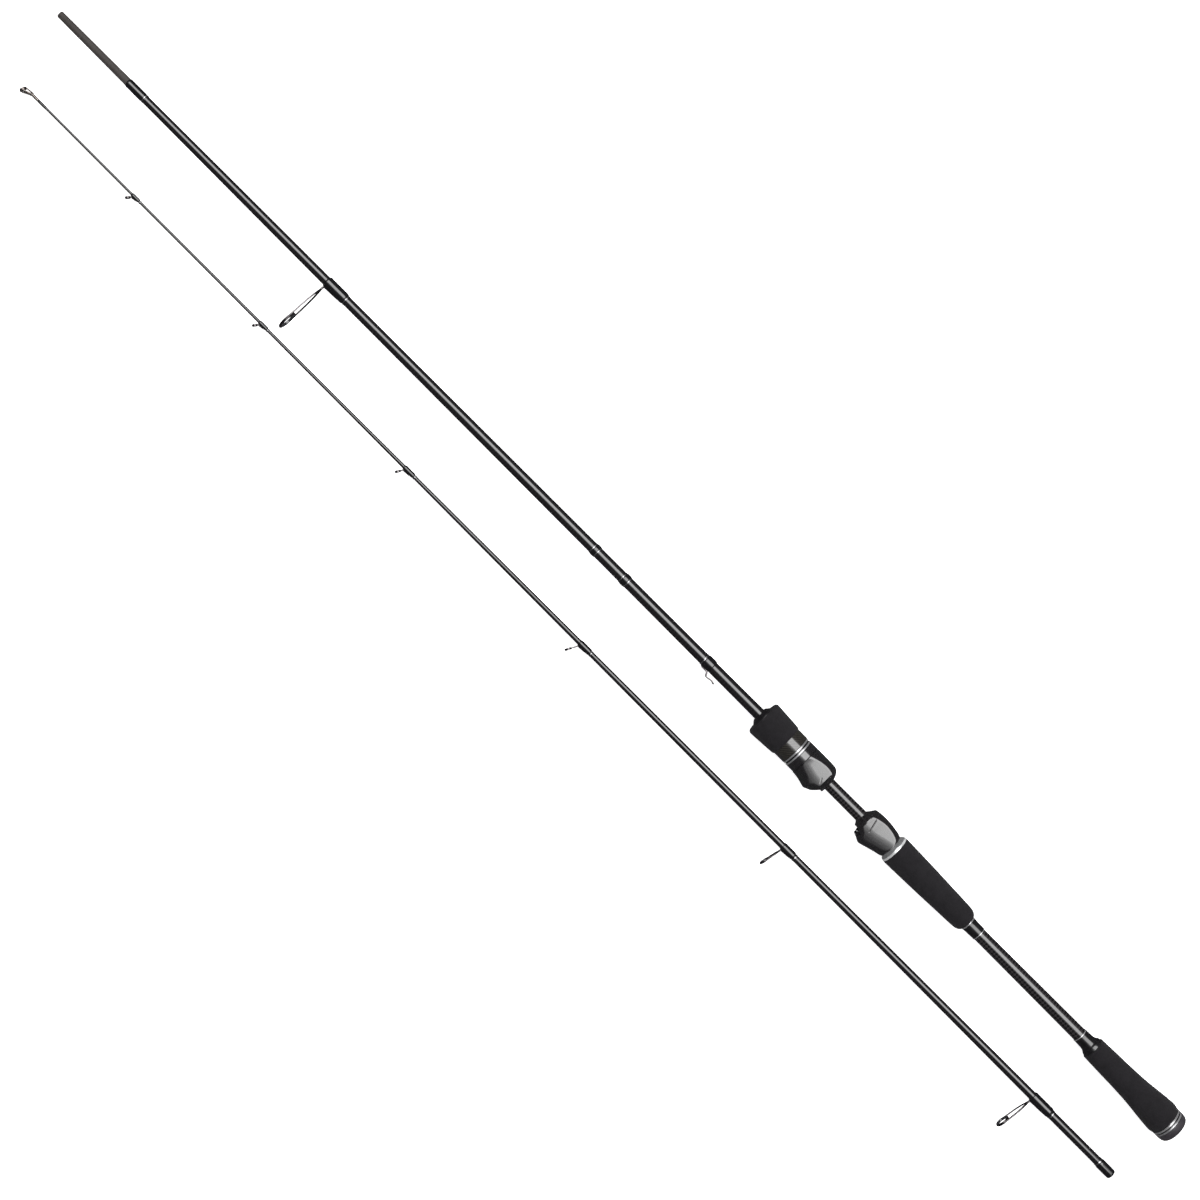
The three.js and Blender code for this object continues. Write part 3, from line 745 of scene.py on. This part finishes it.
def line_guide(name, section, start, end, wrap, height, ring, lean, legs):
    """A line guide: a foot under the wrap, one or two legs, and the ring.

    Two legs leave the foot side by side, spread to the ring's width and end over its top.
    """
    surface = radius_at(TAPERS[section], end)
    thick = 0.9 + 0.05 * ring if legs == 2 else 1.9 - 0.3 * ring
    foot_width = 0.6 + 0.25 * ring
    level = surface + 0.12 + thick / 2
    angle = math.radians(lean)
    up = Vector((math.sin(angle), math.cos(angle), 0))
    base = Vector((end - thick, level, 0))
    reach = (height - level) / up.y
    centre = base + up * reach
    place = guide_place(centre, lean)
    width = 1.35 + 0.06 * ring
    band, insert = ring_pieces(name, section, place, ring, width)

    toe = Vector((start + 0.3 * (end - start), level - 0.15 * thick, 0))
    stems = []
    if legs == 2:
        for side in (-1, 1):
            spread = Vector((0, 0, side))
            out = 0.22 * foot_width * spread
            hold = (ring - 0.35 * thick) * spread
            bend = base + out
            heel = bend - Vector((0.9 * thick, 0, 0))
            shin = bend + up * 0.07 * reach
            calf = bend + up * 0.26 * reach + 0.55 * hold
            neck = centre + 1.02 * hold - up * 0.62 * reach
            path = [toe + out * 0.5, (toe + heel + out) / 2]
            path += bezier(heel, bend, bend, shin, 5)
            path += bezier(shin, calf, neck, centre + hold, 22)
            for k in range(9):
                turn = math.pi / 2 * k / 8
                path.append(centre + hold * math.cos(turn) + up * hold.length * math.sin(turn))

            def cross(share):
                taper_in = 0.45 + 0.55 * ease(share / 0.1)
                return 0.5 * (1.35 + 0.045 * ring) * taper_in, 0.5 * thick * taper_in

            stems.append(swept(f"{name}_leg", section, path, cross, Vector((1, 0, 0))))
    else:
        path = [toe, (toe + base) / 2]
        path += bezier(base - Vector((0.9 * thick, 0, 0)), base, base, base + up * 0.12 * reach, 5)
        path += [base + up * (reach * k / 6) for k in range(1, 5)]
        path.append(centre - up * ring * 0.93)

        def cross(share):
            half_width = 0.42 * foot_width * (0.6 + 0.4 * ease(share / 0.3))
            return half_width, 0.5 * thick * (0.6 + 0.4 * ease(share / 0.2))

        stems.append(swept(f"{name}_leg", section, path, cross))
    steel = combined(band, stems, "UNION", sharp=40)
    dress(steel, "steel", f"{section}_section", f"{name}_frame")
    dress(insert, "ceramic", f"{section}_section", f"{name}_insert")
    wound(f"{name}_wrap", section, start, end, wrap, lift=0.45)
    trim_band(f"{name}_trim", section, start - 1.4, start - 0.6)


def tip_top():
    """The tip top: a tube over the blank's end, with four arms out to its ring."""
    tube_start, tube_end, outer, bore = 1154.2, 1162.6, 1.15, 0.8
    ring, width, lean = 2.75, 1.6, 19
    centre = Vector((1168.7, 2.0, 0))
    place = guide_place(centre, lean)
    band, insert = ring_pieces("tip_top", "tip", place, ring, width)
    corners = [(tube_start, bore, 0.1), (tube_start, outer, 0.2)]
    corners += [(tube_end, outer + 0.1, 0.3), (tube_end, bore, 0.1)]
    tube = rounded(corners, closed=True, steps=4)
    parts = [turned("tip_top_tube", "tip", tube, closed=True, sides=48)]
    root = (outer + bore) / 2 + 0.05
    reach = ring - 0.12
    ahead = Vector((1.9, 0, 0))
    for turn in (0, 80, 280, 180):
        around = math.radians(turn)
        start = Vector((tube_end - 1.6, root * math.cos(around), root * math.sin(around)))
        hold = place @ Vector((-0.1, reach * math.cos(around), reach * math.sin(around)))
        path = bezier(start, start + ahead, hold - 0.9 * ahead, hold, 12) + [hold]
        wide = 0.5 if turn in (80, 280) else 0.6
        parts.append(swept("tip_top_arm", "tip", path, lambda share: (wide, 0.58)))
    steel = combined(band, parts, "UNION", sharp=40)
    dress(steel, "tip_steel", "tip_section", "tip_top_frame")
    dress(insert, "ceramic", "tip_section", "tip_top_insert")
    wound("tip_top_wrap", "tip", 1145.9, 1154.3, 1.2)
    trim_band("tip_top_trim", "tip", 1144.7, 1145.5, height=0.15)


def hook_keeper():
    """A loop of wire that stands out from under its wrap, towards the handle."""
    start, end = 494.5, 502.5
    wire = 1.25
    level = radius_at(TAPERS["butt"], start) + 0.12 + wire / 2
    half_loop = 1.5
    side = [
        (end - 2, level), (start + 1.2, level), (start - 0.6, level + 2.3), (start - 1.9, level + 3.0),
        (start - 6.4, level + 2.3), (start - 8.2, level + 2.8),
    ]
    knots = [Vector((x, y, half_loop)) for x, y in side] + [Vector((start - 9.0, level + 3.0, 0))]
    knots += [Vector((x, y, -half_loop)) for x, y in reversed(side)]
    path = []
    for i in range(len(knots) - 1):
        a, b = knots[max(i - 1, 0)], knots[i]
        c, d = knots[i + 1], knots[min(i + 2, len(knots) - 1)]
        path += bezier(b, b + (c - a) / 6, c - (d - b) / 6, c, 6)
    path.append(knots[-1])
    keeper = swept("hook_keeper", "butt", path, lambda share: (wire / 2, wire / 2))
    dress(keeper, "steel", "butt_section", "hook_keeper")
    wound("keeper_wrap", "butt", start, end, 5.3, lift=0.6)
    trim_band("keeper_trim", "butt", 502.8, 503.7)


def wraps():
    """The wraps that hold no guide: beside the label, at the ferrule and at its socket."""
    wound("label_wrap_rear", "butt", 585.6, 590.3, 5.0)
    wound("label_wrap_front", "butt", 617.9, 621.7, 4.9)
    trim_band("label_trim_a", "butt", 584.8, 585.7)
    trim_band("label_trim_b", "butt", 590.3, 591.2)
    trim_band("label_trim_c", "butt", 617.1, 618.0)
    trim_band("label_trim_d", "butt", 621.7, 622.6)
    wound("ferrule_wrap", "butt", 1102.6, SHOULDER + 0.2, 3.6)
    trim_band("ferrule_trim", "butt", 1101.2, 1102.2)
    wound("socket_wrap", "tip", 0.1, 13.4, 4.1)
    trim_band("socket_trim", "tip", 13.8, 14.8)


# ---------- handle ----------


def sleeve(name, outline, bore, paint, body="butt_section", sides=96, shape=polar):
    """A turned sleeve with a straight bore, in place of the CAD node of its name."""
    points = outline + [(outline[-1][0], bore), (outline[0][0], bore)]
    tube = turned(name, "butt", points, closed=True, sides=sides, shape=shape)
    return dress(tube, paint, body, name)


def knurled(name, start, end, radius, bore, body):
    """A silver ring with a fine slanted knurl round it."""
    lobes = 84
    depth = 0.11
    corners = [(start, bore), (start, radius, 0.25), (end, radius, 0.25), (end, bore)]
    outline = rounded(corners, closed=True)
    middle, half = (start + end) / 2, (end - start) / 2

    def shape(station, r, angle):
        crown = max(0.0, 1 - ((station - middle) / half) ** 2)
        if r > radius - 0.3:
            wave = math.cos(lobes * angle + 2.2 * (station - middle) / half)
            r += depth * (wave - 1) * crown
        return polar(station, r, angle)

    ring = turned(name, "butt", outline, closed=True, sides=lobes * 5, shape=shape, sharp=60)
    return dress(ring, "knurl", body, name)


def butt_grip():
    """The foam grip at the butt, with its cap, rings, check and collar."""
    dome = [(0.3, 1.5), (0.25, 4.0), (0.05, 7.5)]
    dome += flowing([(0.0, 8.7), (0.5, 10.9), (1.5, 12.0), (3.2, 12.7), (6.2, 13.05)])
    cap = turned("butt_cap", "butt", [*dome, (6.55, 12.9)])
    dress(cap, "cap", "butt_section", "butt_cap")
    flange = [(6.56, 12.35), (11.1, 12.35), (11.1, 4.0, 0.4), (34, 4.0, 0.5), (34, 3.0)]
    plug = turned("butt_plug", "butt", rounded(flange))
    dress(plug, "plastic", "butt_section", "butt_plug")
    for name, start in (("butt_ring_rear", 7.0), ("butt_ring_front", 9.4)):
        knurled(name, start, start + 1.2, 13.0, 12.0, "butt_section")
    grip = rounded([(11.0, 12.2), (11.1, 12.9, 0.6), (12.6, 13.35)])
    grip += flowing([
        (13.2, 13.5), (14.9, 13.75), (21.5, 13.3), (29.4, 12.5), (37, 11.65), (44.5, 11.0), (52, 10.6),
        (59.6, 10.3), (74.7, 9.9), (87.4, 9.45),
    ])
    grip += rounded([(87.5, 9.45), (88.2, 9.4, 0.7), (88.2, 8.0)])[1:]
    sleeve("butt_grip", grip, 5.7, "foam")
    check = rounded([(88.15, 8.6), (89.6, 8.55, 1.0), (91.1, 7.7, 0.4), (91.2, 7.4)])
    sleeve("butt_grip_check", check, 5.7, "plastic")
    collar = flowing([(91.2, 7.6), (92.4, 6.85), (94.5, 6.35), (97.5, 6.2), (101.3, 6.05)])
    sleeve("butt_collar", collar, 5.6, "plastic")
    ring = rounded([(101.6, 5.8), (101.6, 6.15, 0.2), (102.3, 6.1, 0.2), (102.3, 5.8)])
    sleeve("butt_trim_ring", ring, 5.5, "knurl")


def rear_grip():
    """The foam grip behind the reel seat, with its collar, check and rings."""
    ring = rounded([(209.7, 5.4), (209.7, 5.76, 0.2), (210.4, 5.78, 0.2), (210.4, 5.4)])
    sleeve("rear_trim_ring", ring, 5.1, "knurl")
    collar = flowing([(210.5, 5.72), (214, 5.8), (218, 5.95), (221.0, 6.15)])
    sleeve("rear_collar", collar, 5.15, "plastic")
    check = rounded([(221.1, 5.8), (221.1, 6.3, 0.25), (222.0, 6.4, 0.25), (222.0, 6.0)])
    sleeve("rear_grip_check", check, 5.2, "knurl")
    grip = flowing([
        (222.2, 6.6), (222.7, 7.5), (224.0, 8.6), (226.5, 9.6), (231, 10.0), (241, 10.4), (256, 11.0),
        (269, 11.5), (283, 11.9), (298.2, 12.3),
    ])
    grip += rounded([(298.4, 12.3), (299.5, 12.3, 0.8), (299.5, 11.0)])[1:]
    sleeve("rear_grip", grip, 5.2, "foam")
    cone = [(299.5, 11.0), (299.5, 12.12, 0.35), (301.5, 11.85, 0.5), (303.75, 9.75, 0.3), (303.75, 8.0)]
    ring = sleeve("rear_grip_ring", rounded(cone), 5.3, "silver")
    # Painted shade: faces that slope forward, picked by which way they point, get the darker, more metallic
    # copy of the silver.
    ring.data.materials.append(PAINTS["bevel"])
    for face in ring.data.polygons:
        if 0.3 < face.normal.x < 0.95:
            face.material_index = 1


# ---------- reel seat ----------


def softly(smaller, a, b, width):
    """The smaller or larger of two numbers, blended where they are nearly the same."""
    h = max(width - abs(a - b), 0.0) / width
    blend = h * h * width / 4
    return min(a, b) - blend if smaller else max(a, b) + blend


def stations_between(low, high, step):
    """Even stations, about one step apart, with both ends."""
    count = max(2, round((high - low) / step))
    return [low + (high - low) * i / count for i in range(count + 1)]


def hood_shell(name, barrel, hump, offset, cheeks, brows, seam):
    """A hood: a barrel joined to the hump over the reel foot, with flattened cheeks.

    barrel, hump and cheeks give a radius, or half the width, at each station. offset is how
    far the hump's axis lies towards the guide side. brows gives the level above which the
    cheeks round over. seam is a slanted groove in the cheeks: its station on the axis, its
    slope, and the levels that it lies between.
    """
    valley, ridge = 1.2, 0.35  # widths of the blends from barrel to hump, and to the cheeks
    brow_curve = 0.0085
    seam_depth, seam_width = 0.16, 0.3
    crossing, slope, lowest, highest = seam
    curves = [flowing(points, 10) for points in (barrel, hump, cheeks, brows)]

    def outside(y, z, sizes):
        """How far a point lies outside the hood, below zero if it is inside."""
        round_body = math.hypot(y, z) - sizes[0]
        over_foot = math.hypot(y - offset, z) - sizes[1]
        body = softly(True, round_body, over_foot, valley)
        fall = brow_curve * max(0.0, y - sizes[3]) ** 2
        return softly(False, body, abs(z) - (sizes[2] - fall), ridge)

    stations = stations_between(barrel[0][0], barrel[-1][0], 0.22)
    outline = [(s, 1.0) for s in stations]
    sizes_at = {s: [radius_at(curve, s) for curve in curves] for s in stations}

    def shape(station, radius, angle):
        cosine, sine = math.cos(angle), math.sin(angle)
        low, high = 0.0, 25.0
        for _ in range(22):
            middle = (low + high) / 2
            if outside(middle * cosine, middle * sine, sizes_at[station]) < 0:
                low = middle
            else:
                high = middle
        y = low * cosine
        present = ease(y - lowest) * ease(highest - y)
        low -= seam_depth * present * math.exp(-(((station - crossing - slope * y) / seam_width) ** 2))
        return station, low * cosine, low * sine

    return turned(name, "butt", outline, sides=144, shape=shape, sharp=30)


def rear_hood():
    """The fixed hood, its liner and nose ring, and the arbor under them."""
    back, front = 303.75, 330.5
    barrel = [
        (back, 9.35), (306, 10.45), (310, 11.2), (314, 11.8), (318, 12.15), (321, 12.25),
        (325, 12.15), (328, 11.85), (front, 11.4),
    ]
    hump = [
        (back, 5.7), (305, 6.4), (307, 6.9), (310, 7.6), (314, 8.7), (318, 9.85), (321, 10.7),
        (323.3, 11.2), (324.2, 11.0), (326, 10.1), (328, 9.05), (329.4, 8.65), (front, 7.8),
    ]
    cheeks = [(back, 9.5), (306, 8.98), (311.3, 8.5), (317, 8.58), (324.6, 9.5), (front, 10.2)]
    brows = [(back, -2.8), (308, -2.0), (314, -0.6), (321, 0.9), (front, 1.4)]
    offset = 4.6
    seam = (325.5, -0.24, -7.5, 5.0)
    shell = hood_shell("rear_hood", barrel, hump, offset, cheeks, brows, seam)
    bore = turned("bore", "butt", [(300, 7.0), (332, 7.0)], sides=64)
    ceiling = [(s, r - 0.5) for s, r in hump] + [(332, 7.3)]
    window = rounded_box("window", "butt", (327.6, 9.9, -14), (332, 12.7, 14), 0.25)
    cuts = [bore, foot_pocket(314, 332, ceiling, offset), window]
    dress(combined(shell, cuts, "DIFFERENCE", sharp=32), "hood", "butt_section", "rear_hood")

    liner = rounded_box("rear_hood_liner", "butt", (327.3, 9.5, -5.6), (330.4, 12.55, 5.6), 0.35)
    hollow = foot_pocket(314, 332, [(s, r - 0.3) for s, r in ceiling], offset)
    dress(combined(liner, [hollow], "DIFFERENCE", sharp=32), "rubber", "butt_section")

    start = 330.6
    nose = flowing([
        (start, 11.3), (331.3, 11.1), (332, 10.6), (332.7, 9.75), (333.6, 8.4), (334.55, 6.9),
        (335.4, 5.75), (335.8, 5.4),
    ])
    nose += [(335.7, 5.25), (start, 5.25)]
    rake = 0.07  # how much further forward the nose ends on its guide side

    def raked(station, r, angle):
        y = r * math.cos(angle)
        return station + rake * y * ease((station - start) / 2), y, r * math.sin(angle)

    ring = turned("rear_hood_nose", "butt", nose, closed=True, sides=128, shape=raked)
    land = rounded_box("land", "butt", (328, LAND, -13), (338, 14, 13), 0.3)
    dress(combined(ring, [land], "DIFFERENCE", sharp=32), "hood", "butt_section", "rear_hood_nose")

    arbor = rounded([(305, 5.6), (305, 6.7, 0.5), (326.8, 6.7, 0.5), (326.8, 5.6)])
    sleeve("rear_arbor", arbor, 5.25, "plastic", sides=64)


def front_hood():
    """The moving hood, which faces the fixed one, and the band behind it."""
    start, end = 370.3, 395.95
    barrel = [
        (start, 6.0), (370.65, 6.8), (371.35, 8.4), (372.05, 9.6), (372.75, 10.5), (373.45, 11.15),
        (374.15, 11.65), (374.85, 12.0), (375.6, 12.25), (377, 12.45), (380, 12.65), (384, 12.75),
        (end, 12.75),
    ]
    hump = [
        (start, 5.0), (374, 7.5), (376.9, 9.2), (378.35, 9.9), (379.75, 10.5), (381.15, 11.2),
        (382.3, 11.55), (383.5, 11.35), (385.5, 10.8), (388.5, 10.0), (391.5, 9.35), (end, 8.65),
    ]
    cheeks = [
        (start, 12.6), (374.3, 12.2), (374.9, 10.6), (375.4, 10.25), (376.5, 10.15), (380.7, 10.0),
        (386.7, 10.5), (390, 11.05), (393.8, 11.8), (end, 12.3),
    ]
    brows = [(start, 1.8), (378, 1.8), (388, 0.4), (394, -1.2), (end, -1.6)]
    offset = 4.1
    seam = (378.8, -0.5, 0.6, 5.2)
    shell = hood_shell("front_hood", barrel, hump, offset, cheeks, brows, seam)
    cavity = turned("cavity", "butt", [(376, 6.9), (400, 6.9)], sides=64)
    passage = turned("passage", "butt", [(368, 5.2), (377, 5.2)], sides=64)
    pocket = foot_pocket(366, 384, [(366, 8.5), (379, 8.5), (381, 9.4), (386, 10.1)], offset)
    mouth = [(366, LAND), (372.7, LAND), (374.2, 10.0), (375.6, 11.6), (377, 13.4), (379.5, 17)]
    mouth += [(379.5, 20), (366, 20)]
    cuts = [cavity, passage, pocket, prism("mouth", "butt", mouth, 14)]
    dress(combined(shell, cuts, "DIFFERENCE", sharp=32), "hood", "front_hood", "front_hood")
    band = rounded([(396.5, 12.0), (396.5, 12.72, 0.3), (402.5, 12.72, 0.3), (402.5, 12.0)])
    sleeve("front_hood_band", band, 6.9, "hood", body="front_hood")


def seat_barrel():
    """The barrel that the moving hood slides on: two flats, and a thread for the nut."""
    radius, root, flat, pitch = 6.6, 6.0, 5.8, 2.5
    thread_start, thread_end = 404, 431

    def shape(station, r, angle):
        if r > 5.5:
            if thread_start < station < thread_end:
                phase = (station / pitch - angle / (2 * math.pi)) % 1
                r = root + (radius - root) * min(1.0, max(0.0, 2.2 - abs(phase - 0.5) * 6))
            if abs(r * math.sin(angle)) > flat:
                r = flat / abs(math.sin(angle))
        return polar(station, r, angle)

    outline = [(389, 6.0), (389.6, radius)]
    outline += [(s, radius) for s in stations_between(390, 432, 0.25)]
    outline.append((432.4, 6.1))
    sleeve("seat_barrel", outline, 5.0, "plastic", shape=shape)


def foregrip():
    body = "foregrip"
    nut = [(402.6, 11.0), (402.6, 12.1, 0.3), (406.6, 12.1, 0.3)]
    nut += [(406.6, 9.6, 0.3), (440.1, 9.6, 0.3), (440.1, 9.0)]
    sleeve("locking_nut", rounded(nut), 6.9, "plastic", body=body)
    for name, start in (("foregrip_ring_rear", 402.75), ("foregrip_ring_front", 405.25)):
        knurled(name, start, start + 1.15, 12.75, 11.8, body)
    tube = rounded([(406.55, 12.0), (406.55, 12.85, 0.2), (416.4, 12.85, 0.2), (416.4, 12.0)])
    sleeve("carbon_sleeve", tube, 9.65, "carbon", body=body)
    grip = rounded([(416.2, 12.4), (416.2, 13.35, 0.6), (417.4, 13.65)])
    grip += flowing([(418, 13.75), (424, 14.15), (430, 14.5), (434, 14.75), (438.6, 15.0)])
    lip = [(438.8, 15.0), (440.0, 14.95, 0.7), (441.3, 13.9, 0.7), (441.45, 11.5, 0.3), (440.2, 10.5)]
    grip += rounded(lip)[1:]
    sleeve("foregrip", grip, 9.7, "foam", body=body)
    check = flowing([
        (440.1, 10.2), (441.5, 9.9), (442.0, 9.1), (442.7, 8.3), (443.4, 7.5), (444.1, 6.7), (444.4, 6.3),
    ])
    sleeve("foregrip_check", check + [(444.5, 5.8)], 5.0, "plastic", body=body)


# ---------- the rod ----------

blanks()
for guide in GUIDES:
    line_guide(*guide)
tip_top()
hook_keeper()
wraps()
butt_grip()
rear_grip()
rear_hood()
front_hood()
seat_barrel()
foregrip()

# ---------- floor, light and camera ----------

scene = bpy.context.scene
scene.view_settings.view_transform = "Standard"


def floor():
    """The white surface that both sections lie on, unseen in the gloss."""
    size = 14.0
    mesh = bpy.data.meshes.new("floor")
    corners = [(-size, -size, 0), (size, -size, 0), (size, size, 0), (-size, size, 0)]
    mesh.from_pydata(corners, [], [(0, 1, 2, 3)])
    plane = bpy.data.objects.new("floor", mesh)
    scene.collection.objects.link(plane)
    g = Graph("floor", Roughness=0.9, Specular_IOR_Level=0.1, Emission_Strength=0.8)
    g.shader.inputs["Emission Color"].default_value = (1, 1, 1, 1)
    g.colour(g.noise(3, 2), (0.86, 0.86, 0.86), (0.9, 0.9, 0.9))
    mesh.materials.append(g.material)
    plane.visible_glossy = False


def overhead():
    """Light from above, in layers, that fades out past the edges of its brightest part."""
    length, breadth = 2.7, 1.7
    layers = ((0.0, 2.75), (0.12, 1.0), (0.27, 0.6), (0.45, 0.35), (0.7, 0.2))
    for i, (spread, radiance) in enumerate(layers):
        lamp = bpy.data.lights.new(f"overhead_{i}", "AREA")
        lamp.shape = "RECTANGLE"
        lamp.size, lamp.size_y = length + 2 * spread, breadth + 2 * spread
        lamp.energy = radiance * math.pi * (length + 2 * spread) * (breadth + 2 * spread)
        light = bpy.data.objects.new(f"overhead_{i}", lamp)
        light.location = (0, -0.9, 2.0 + 0.02 * i)
        light.visible_camera = False
        scene.collection.objects.link(light)


def surroundings():
    """A grey room that looks dark in gloss and paler where the camera sees past the floor."""
    world = bpy.data.worlds.new("room")
    scene.world = world
    world.use_nodes = True
    tree = world.node_tree
    rays = tree.nodes.new("ShaderNodeLightPath")
    shown = tree.nodes["Background"].outputs[0]
    tree.nodes["Background"].inputs["Color"].default_value = (0.05, 0.05, 0.053, 1)
    for ray, tone in (("Is Diffuse Ray", 0.3), ("Is Camera Ray", 0.95)):
        plain = tree.nodes.new("ShaderNodeBackground")
        plain.inputs["Color"].default_value = (tone, tone, tone, 1)
        mix = tree.nodes.new("ShaderNodeMixShader")
        tree.links.new(rays.outputs[ray], mix.inputs[0])
        tree.links.new(shown, mix.inputs[1])
        tree.links.new(plain.outputs[0], mix.inputs[2])
        shown = mix.outputs[0]
    tree.links.new(shown, tree.nodes["World Output"].inputs[0])


def camera():
    """Straight above the rod, turned so that its tips point to the upper left."""
    low, high = (Vector(corner) for corner in cad_box)
    centre = (low + high) / 2
    lens = bpy.data.cameras.new("camera")
    lens.lens = 59.95
    lens.sensor_width = 36.0
    height = 1.525
    turn = 225.03
    eye = bpy.data.objects.new("camera", lens)
    eye.location = (centre.x - 0.0055, centre.y - 0.0150, height)
    eye.rotation_euler = (0, 0, math.radians(turn))
    scene.collection.objects.link(eye)
    scene.camera = eye


floor()
overhead()
surroundings()
camera()
